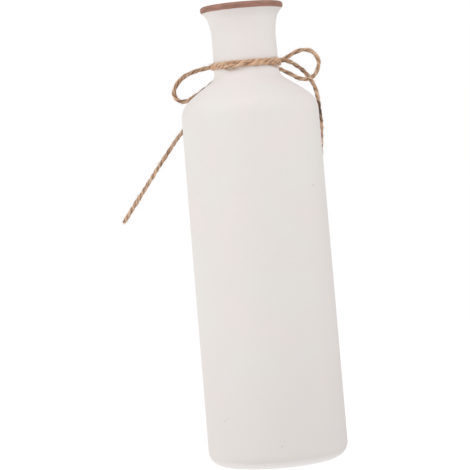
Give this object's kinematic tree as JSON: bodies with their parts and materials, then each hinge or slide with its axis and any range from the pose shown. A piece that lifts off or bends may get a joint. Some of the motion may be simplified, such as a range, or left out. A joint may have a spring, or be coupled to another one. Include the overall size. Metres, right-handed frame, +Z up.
{
  "type": "bottle vase",
  "caption": "Cylindrical ceramic bottle vase with a sloping shoulder, short neck and flared lip, with a bow of twine tied round the neck and its cut ends hanging down.",
  "frame": {"origin": "centre of the vase's foot, on the plane that it stands on", "axes": "+Z up through the mouth, +Y towards the knot behind the neck; the picture looks along +Y, with +X to its right"},
  "size_m": [0.1211, 0.0796, 0.26],
  "materials": {
    "clay": "matte, chalky off-white, with a brown band round the lip",
    "twine": "rough natural jute"
  },
  "bodies": {
    "vase": {"vase_body": "clay"},
    "twine": {"neck_wrap": "twine", "bow_knot": "twine", "bow_loop_left": "twine", "bow_loop_right": "twine", "tail_left": "twine", "tail_right": "twine"}
  },
  "joints": [
    {"name": "bow_turn", "type": "hinge", "parent": "vase", "child": "twine", "pos_m": [0, 0, 0.2267], "axis": [0, 0, 1], "continuous": true}
  ]
}
